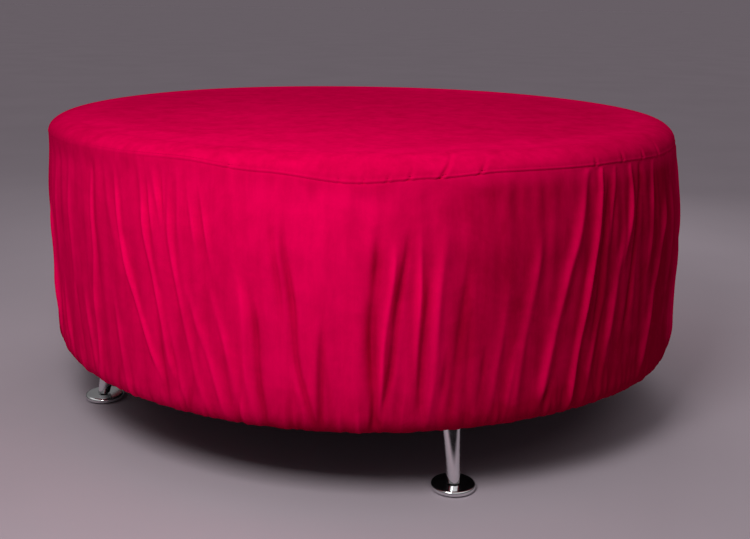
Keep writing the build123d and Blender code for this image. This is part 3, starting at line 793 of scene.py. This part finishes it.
class OTTOMAN_OT_side_band(bpy.types.Operator):
    """Loose side band of the cover, from the seam to the hem under the base"""
    bl_idname = "ottoman.side_band"
    bl_label = "Side Band"

    def execute(self, context):
        cover = context.scene.ottoman_cover
        columns = cover.columns
        turned_in = SEAM_RADIUS + cover.side_swell + cover.foot_swell - cover.bottom_round
        rows = self.rows(cover, turned_in)
        radius, height, level, out, up = (np.array(column)[:, None] for column in zip(*rows))
        level = np.repeat(level, columns, axis=1)
        angles = np.repeat(round_angles(columns)[None, :], len(rows), axis=0)
        relief, crest = self.relief(cover, angles, level)
        rise = seam_rise(angles) * eased(level, 0.2, SEAM_HEIGHT)
        sag = strokes(angles, FOOT_SAG) * eased(level, 0.2, 0.12) * eased(level, 0.06, 0.09)
        r = radius + relief * out
        z = height + relief * up * (up < 0) + rise - sag
        points = np.stack([r * np.cos(angles), r * np.sin(angles), z], axis=-1).reshape(-1, 3)
        loose = eased(np.hypot(points[:, 0], points[:, 1]), HEM_CIRCLE + CASING, turned_in)[:, None]
        points = points + (slumped(cover, points) - points) * loose
        made = piece("side_band", points, ring_faces(len(rows), columns), suede_cover(cover))
        keep_painted_light(made, self.painted_shading(angles, level, crest))
        dress(made, "cover", "cover_band")
        return {"FINISHED"}

    def rows(self, cover, turned_in):
        """Rows of the cloth: radius, height, level along it, and how far it faces out and up."""
        bend_in, bend_up = cover.bottom_round, cover.bottom_rise
        side_foot = BOTTOM + bend_up
        close = SEAM_HEIGHT - np.array([0.0, 0.12, 0.5, 1.0, 1.6, 2.4, 3.4, 4.6, 6.2]) * MM
        side = np.concatenate([close, np.linspace(SEAM_HEIGHT - 8.5 * MM, side_foot, 72)])
        swell = cover.side_swell * eased(side, SEAM_HEIGHT, SEAM_HEIGHT - 100 * MM)
        swell = swell + cover.foot_swell * eased(side, 0.33, side_foot)

        # Tucked into the seam, and down the side
        rows = [
            (SEAM_RADIUS - inward, SEAM_HEIGHT - apart, SEAM_HEIGHT, 0.0, 1.0)
            for inward, apart in reversed(TUCKS)]
        rows += [(SEAM_RADIUS + s, z, z, 1.0, 0.0) for z, s in zip(side, swell)]

        # Round the bottom edge, in along the hem, and round the elastic
        bend_path = 0.5 * (bend_in + bend_up)
        for b in np.linspace(0.0, np.pi / 2, 14)[1:]:
            r, z = turned_in + bend_in * cos(b), side_foot - bend_up * sin(b)
            rows.append((r, z, side_foot - bend_path * b, cos(b), -sin(b)))
        hem_start = rows[-1][2]
        hem = np.linspace(turned_in, HEM_CIRCLE, 8)[1:]
        rows += [(r, BOTTOM, hem_start - (turned_in - r), 0.0, -1.0) for r in hem]
        rows += [
            (HEM_CIRCLE + CASING * cos(b), ELASTIC_LEVEL + CASING * sin(b), 0.06, cos(b), sin(b))
            for b in np.linspace(radians(95), radians(430), 14)]
        return rows

    def relief(self, cover, angles, level):
        """How far the cloth stands out, in metres, and the mask of painted highlights on the crests of its
        folds and painted shade in their hollows.
        """
        relief, crest = fold_relief(cover, angles, level)
        relief += cloth_unrest(cover, angles, level) * eased(level, SEAM_HEIGHT, SEAM_HEIGHT - 30 * MM)
        relief += bottom_gathers(cover, angles, level)
        right_end = strokes(angles, RIGHT_END)
        relief += BULGE * right_end * ridge(level - BULGE_LEVEL, BULGE_REACH)
        relief -= LEAN * right_end * eased(level, *LEAN_LEVELS)
        relief *= eased(level, 70 * MM, 105 * MM) * (0.6 + 0.4 * eased(level, 100 * MM, 165 * MM))
        relief -= seam_depth(cover, angles) * np.exp((level - SEAM_HEIGHT) / cover.seam_spread)
        return relief, crest

    def painted_shading(self, angles, level, crest):
        """Painted light and shade of the band: highlights on fold crests and shade in their hollows, broad
        strokes of painted light and shade, and painted shade along the bottom edge.
        """
        below_seam = eased(level, SEAM_HEIGHT, SEAM_HEIGHT - 25 * MM)
        side_share = 0.7 + 0.3 * eased(level, 0.14, 0.26)
        lower_half = eased(level, 0.26, 0.16)
        # Painted shade along the bottom edge, where the band turns under
        pressed = 0.9 * eased(level, 0.18, 0.105) + 0.45 * eased(level, 0.145, 0.11)
        # Painted fold highlights and shade, broad strokes of painted light and shade below the seam, and more
        # painted shade on the lower right
        light = crest + strokes(angles, SIDE_LIGHT_SHADE_AND_TONE) * (below_seam * side_share)
        light = light + strokes(angles, LOW_PAINTED_SHADE) * lower_half
        return light - pressed * (1.0 + strokes(angles, BOTTOM_SHADE_STROKES))


class OTTOMAN_OT_seat_panel(bpy.types.Operator):
    """Round top panel of the cover, crowned, rounded at its rim and tucked into the seam"""
    bl_idname = "ottoman.seat_panel"
    bl_label = "Seat Panel"

    def execute(self, context):
        cover = context.scene.ottoman_cover
        fine = cover.columns
        coarse = fine // 4
        flat = SEAM_RADIUS - RIM_IN
        top = SEAT_HEIGHT - CROWN
        inner = np.linspace(0.0, 0.28, 12)[1:]
        outer = np.concatenate([np.linspace(0.30, 0.42, 12), np.linspace(0.424, flat, 16)])
        bends = np.concatenate([
            np.linspace(0.0, 1.40, 20)[1:], np.linspace(1.42, 1.55, 7), [1.566, np.pi / 2]])
        few, many = round_angles(coarse), round_angles(fine)
        creases = self.all_creases(cover)

        def surface(radius, height, angle, above):
            """Places a ring: slow swells on the seat, creases and the groove near the seam."""
            draw = np.random.default_rng(cover.seed + 3)
            slow = sum(
                0.35 * MM * np.cos(n * angle + draw.uniform(0, tau) + k * radius)
                for n, k in ((1, 9.0), (2, 14.0), (3, 21.0), (5, 30.0)))
            slow = slow * eased(radius, 0.02, 0.25)
            share = np.clip(1.0 - above / RIM_PATH, 0.0, 1.0)
            groove = seam_depth(cover, angle)
            lip = ridge(above - 2.6 * MM, 1.3 * MM) - 0.8 * ridge(above - 5.6 * MM, 1.1 * MM)
            draw_in = groove * np.exp(-above / cover.seam_spread) - 0.5 * groove * lip
            for crease in creases:
                reach = crease.reach * MM
                path = crease.seam_angle + (crease.end_angle - crease.seam_angle) * above / reach
                across = wrapped(angle - np.radians(path)) * SEAM_RADIUS / (crease.width * MM)
                life = 1.0 - eased(above, 0.3 * reach, reach)
                pinch = ridge(across, 1.0) - 0.45 * ridge(across, 2.0)
                draw_in = draw_in + crease.depth * MM * life * pinch
            outward = min(1.0, max(0.0, (radius - flat) / RIM_IN))
            r = radius - draw_in * outward
            z = height + slow * (1 - share) + seam_rise(angle) * eased(share, 0.1, 1.0)
            z = z - draw_in * (1 - outward)
            return np.stack([r * np.cos(angle), r * np.sin(angle), z], axis=-1)

        def dome(r):
            return top + CROWN * (1 - (r / flat) ** 2)

        points = [np.array([[0.0, 0.0, SEAT_HEIGHT]])]
        points += [surface(r, dome(r), few, RIM_PATH) for r in inner]
        points += [surface(r, dome(r), many, RIM_DOWN + (flat - r)) for r in outer]
        for bend in bends:
            drop = RIM_DOWN * (1 - cos(bend))
            points.append(surface(flat + RIM_IN * sin(bend), top - drop, many, RIM_DOWN - drop))
        for inward, apart in TUCKS:
            points.append(surface(SEAM_RADIUS - inward, SEAM_HEIGHT + apart, many, 0.0))

        faces = [[0, 1 + i, 1 + (i + 1) % coarse] for i in range(coarse)]
        faces += ring_faces(len(inner), coarse, 1)
        last_inner = 1 + (len(inner) - 1) * coarse
        first_outer = 1 + len(inner) * coarse
        ratio = fine // coarse
        for i in range(coarse):
            rimward = [first_outer + (ratio * i + k) % fine for k in range(ratio + 1)]
            faces.append([last_inner + i] + rimward + [last_inner + (i + 1) % coarse])
        faces += ring_faces(len(outer) + len(bends) + len(TUCKS), fine, first_outer)
        points = np.concatenate(points)
        made = piece("seat_panel", slumped(cover, points), faces, suede_cover(cover))

        # Painted shade: the rim is painted darker, and so is the seat inside it
        from_seam = np.hypot(points[:, 0], points[:, 1]) - SEAM_RADIUS
        above = points[:, 2] - SEAM_HEIGHT - seam_rise(np.arctan2(points[:, 1], points[:, 0]))
        rim = -0.3 * eased(from_seam, -60 * MM, -20 * MM) * eased(above, 0.0, 9 * MM)
        seat = -0.28 * (1.0 - eased(from_seam, -110 * MM, -50 * MM))
        keep_painted_light(made, rim + seat)
        dress(made, "cover", "cover_top")
        return {"FINISHED"}

    def all_creases(self, cover):
        """The shown creases, and a seeded draw of like ones for the rest of the seam."""
        draw = np.random.default_rng(cover.seed + 4)
        creases = list(SHOWN_CREASES)
        for angle in draw.uniform(HIDDEN_FROM, HIDDEN_TO, HIDDEN_CREASES):
            end_angle, reach = angle + draw.normal(0.0, 1.2), draw.uniform(9, 26)
            creases.append(Crease(angle, end_angle, reach, draw.uniform(1.2, 3.0), draw.uniform(2.8, 4.2)))
        return creases


class OTTOMAN_OT_seam_stitches(bpy.types.Operator):
    """Stitches along the seam, just above the line where the two cloths meet"""
    bl_idname = "ottoman.seam_stitches"
    bl_label = "Seam Stitches"

    def execute(self, context):
        cover = context.scene.ottoman_cover
        count = int(tau * SEAM_RADIUS / cover.stitch_pitch)
        half, thick = 0.36 * cover.stitch_pitch, 0.35 * MM
        inset, above_seam = 1.2 * MM, 5.4 * MM
        rings = np.array([(-1.0, 0.35), (-0.7, 1.0), (0.7, 1.0), (1.0, 0.35)])[:, :, None]
        sides = 6

        # All stitches at once, by stitch, ring and side
        angle = wrapped(tau * np.arange(count) / count)[:, None, None]
        turn = round_angles(sides, 0.0)
        along, girth = half * rings[:, 0], thick * rings[:, 1]
        out = SEAM_RADIUS - inset + girth * np.cos(turn)
        x = out * np.cos(angle) - along * np.sin(angle)
        y = out * np.sin(angle) + along * np.cos(angle)
        z = SEAM_HEIGHT + above_seam + seam_rise(angle) + girth * np.sin(turn)
        points = np.stack([x, y, z], axis=-1)
        last = (len(rings) - 1) * sides
        stitch = [quad[:1] + quad[:0:-1] for quad in ring_faces(len(rings), sides)]
        stitch += [list(range(sides))[::-1], list(range(last, last + sides))]
        firsts = range(0, count * (last + sides), last + sides)
        faces = [[first + corner for corner in face] for first in firsts for face in stitch]
        made = piece("seam_stitches", slumped(cover, points), faces, cover_thread(cover))
        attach(made, BODY)
        return {"FINISHED"}


class OTTOMAN_OT_padding(bpy.types.Operator):
    """Seat foam, side foam and wadding, pressed a little by the cover"""
    bl_idname = "ottoman.padding"
    bl_label = "Padding"

    def execute(self, context):
        cover = context.scene.ottoman_cover
        pressed, centre, columns = 3 * MM, 4 * MM, 240
        bends = np.linspace(0.0, np.pi / 2, 10)

        def dome(edge, top):
            return [(r, top - CROWN * (r / edge) ** 2) for r in np.linspace(edge, centre, 12)[1:]]

        low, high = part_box("seat_foam")
        edge, top, rim = high[0] - pressed, high[2] - pressed, 24 * MM
        outline = [(centre, low[2]), (edge, low[2])]
        outline += [(edge - rim + rim * cos(b), top - CROWN - rim + rim * sin(b)) for b in bends]
        seat = piece("seat_foam_pad", *spun(outline + dome(edge - rim, top), columns), plain("yellow_foam"))
        dress(seat, "foam", "seat_foam")

        low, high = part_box("side_foam")
        inside, outside, bend = high[0] - 15 * MM, high[0] - pressed, 10 * MM
        outline = [(inside, low[2])]
        outline += [(outside - bend + bend * sin(b), low[2] + bend - bend * cos(b)) for b in bends]
        outline += [(outside, high[2]), (inside, high[2])]
        side = piece("side_foam_sleeve", *spun(outline, columns), plain("yellow_foam"))
        dress(side, "foam", "side_foam")

        low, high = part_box("wadding")
        outside, top, thick, rim = high[0] - pressed, high[2] - pressed, 4.5 * MM, 32 * MM
        flat = outside - rim
        upper = dome(flat, top)
        inner_rim = rim - thick
        outline = [(outside - thick, low[2]), (outside, low[2])]
        outline += [(flat + rim * cos(b), top - CROWN - rim + rim * sin(b)) for b in bends]
        outline += upper + [(r, z - thick) for r, z in reversed(upper)]
        outline += [(flat + inner_rim * sin(b), top - CROWN - rim + inner_rim * cos(b)) for b in bends]
        points, faces = spun(outline, columns)
        layer = piece("wadding_layer", slumped(cover, points), faces, plain("white_wadding"))
        dress(layer, "wadding", "wadding")
        return {"FINISHED"}


class OTTOMAN_OT_dust_cloth(bpy.types.Operator):
    """Black cloth under the base, drawn up at its staples and slack between them"""
    bl_idname = "ottoman.dust_cloth"
    bl_label = "Dust Cloth"

    def execute(self, context):
        columns, staples = 288, 36
        hang = 2.2 * MM
        angle = round_angles(columns, 0.0)
        draw = np.random.default_rng(11)
        rings = np.concatenate([np.linspace(0.03, 0.40, 26), np.linspace(0.41, DUST_RADIUS, 14)])
        level = (DUST_LOW[2] + DUST_HIGH[2]) / 2
        points = [np.array([[0.0, 0.0, level - hang]])]
        for r in rings:
            slack = eased(r, DUST_RADIUS, 0.36)
            ripple = 0.35 * MM * np.cos(staples * angle) * eased(r, 0.38, DUST_RADIUS)
            crease = 0.5 * MM * np.cos(3 * angle + 18 * r + draw.uniform(0, 0.2)) * slack
            drop = -hang * slack * (1 - 0.3 * (r / DUST_RADIUS) ** 2)
            z = level + (drop + crease * (r > 0.05) + ripple * slack)
            points.append(np.stack([r * np.cos(angle), r * np.sin(angle), z], axis=-1))
        faces = [[0, 1 + (i + 1) % columns, 1 + i] for i in range(columns)]
        faces += [quad[::-1] for quad in ring_faces(len(rings), columns, 1)]
        made = piece("dust_cloth", np.concatenate(points), faces, plain("black_dust_cloth"))
        dress(made, "dust_cloth", "dust_cover")
        return {"FINISHED"}


class OTTOMAN_OT_finishes(bpy.types.Operator):
    """Finishes for the pieces that keep the frame's shape: wood, fittings, legs and feet"""
    bl_idname = "ottoman.finishes"
    bl_label = "Finishes"

    def execute(self, context):
        metal = context.scene.ottoman_metal
        by_slot = {
            "plywood": birch_plywood(), "softwood": sawn_softwood(), "hardboard": plain("pressed_hardboard"),
            "steel": plated_steel(metal), "chrome": polished_chrome(metal),
            "socket_plastic": plain("socket_plastic"), "glide": plain("glide_rubber"),
            "elastic": plain("woven_elastic"),
        }
        for part in frame["record"]["subparts"]:
            if part["material_slot"] in by_slot:
                mesh = frame["nodes"][part["node"]].data
                mesh.materials.clear()
                mesh.materials.append(by_slot[part["material_slot"]])
        return {"FINISHED"}


class OTTOMAN_OT_stage(bpy.types.Operator):
    """Pale floor, studio, soft lights and the camera"""
    bl_idname = "ottoman.stage"
    bl_label = "Stage"

    def execute(self, context):
        stage = context.scene.ottoman_stage
        scene = context.scene
        across = np.linspace(-FLOOR_REACH, FLOOR_REACH, FLOOR_CELLS + 1)
        points = [(x, y, 0.0) for y in across for x in across]
        corners = [(FLOOR_CELLS + 1) * j + i for j in range(FLOOR_CELLS) for i in range(FLOOR_CELLS)]
        faces = [[c, c + 1, c + FLOOR_CELLS + 2, c + FLOOR_CELLS + 1] for c in corners]
        piece("floor", points, faces, pale_floor(stage))

        world = bpy.data.worlds.new("studio")
        world.use_nodes = True
        tree = world.node_tree
        direction = node(tree, "ShaderNodeTexCoord").outputs["Generated"]
        up = node(tree, "ShaderNodeSeparateXYZ", {"Vector": direction}).outputs["Z"]
        height = spread(tree, up, 0.0, STUDIO_TOP)
        sky = mixed(tree, height, *SEEN_STUDIO)
        studio = mixed(tree, height, *MIRRORED_STUDIO)
        mirrored = node(tree, "ShaderNodeLightPath").outputs["Is Glossy Ray"]
        tree.links.new(mixed(tree, mirrored, sky, studio), tree.nodes["Background"].inputs["Color"])
        scene.world = world
        scene.view_settings.view_transform = "Standard"

        for name, (place, size, power) in LIGHTS.items():
            lamp = bpy.data.lights.new(name, "AREA")
            lamp.size = size
            lamp.energy = getattr(stage, power)
            lamp.spread = LIGHT_SPREAD
            made = bpy.data.objects.new(name, lamp)
            made.location = place
            made.visible_camera = False
            made.rotation_euler = (LIGHT_AIM - Vector(place)).to_track_quat("-Z", "Y").to_euler()
            scene.collection.objects.link(made)
        sky_light = bpy.data.lights.new("sky_light", "SUN")
        sky_light.energy = stage.sky_strength
        sky_light.angle = SKY_SPREAD
        scene.collection.objects.link(bpy.data.objects.new("sky_light", sky_light))

        camera = bpy.data.objects.new("camera", bpy.data.cameras.new("camera"))
        camera.data.lens = stage.lens
        camera.data.sensor_width = 36.0
        place = Vector((stage.camera_offset, -stage.camera_distance, stage.camera_height))
        camera.matrix_world = (
            Matrix.Rotation(stage.camera_azimuth, 4, "Z") @ Matrix.Translation(place)
            @ Matrix.Rotation(np.pi / 2 - stage.camera_pitch, 4, "X")
            @ Matrix.Rotation(stage.camera_roll, 4, "Z"))
        scene.collection.objects.link(camera)
        scene.camera = camera
        return {"FINISHED"}


STEPS = (
    OTTOMAN_OT_padding,
    OTTOMAN_OT_side_band,
    OTTOMAN_OT_seat_panel,
    OTTOMAN_OT_seam_stitches,
    OTTOMAN_OT_dust_cloth,
    OTTOMAN_OT_finishes,
    OTTOMAN_OT_stage,
)


class OTTOMAN_PT_dresser(bpy.types.Panel):
    """Settings and steps of the dresser"""
    bl_idname = "OTTOMAN_PT_dresser"
    bl_label = "Round Ottoman"
    bl_space_type = "VIEW_3D"
    bl_region_type = "UI"
    bl_category = "Ottoman"

    def draw(self, context):
        for group, settings in SETTINGS.items():
            box = self.layout.box()
            for name in settings.__annotations__:
                box.prop(getattr(context.scene, group), name)
        for step in STEPS:
            self.layout.operator(step.bl_idname)


SETTINGS = {
    "ottoman_cover": CoverSettings,
    "ottoman_metal": MetalSettings,
    "ottoman_stage": StageSettings,
}
CLASSES = tuple(SETTINGS.values()) + STEPS + (OTTOMAN_PT_dresser,)


def register():
    for made in CLASSES:
        bpy.utils.register_class(made)
    for name, settings in SETTINGS.items():
        setattr(bpy.types.Scene, name, PointerProperty(type=settings))


def unregister():
    for name in SETTINGS:
        delattr(bpy.types.Scene, name)
    for made in reversed(CLASSES):
        bpy.utils.unregister_class(made)


def main():
    register()
    for step in STEPS:
        group, name = step.bl_idname.split(".")
        getattr(getattr(bpy.ops, group), name)()


if __name__ == "__main__":
    main()
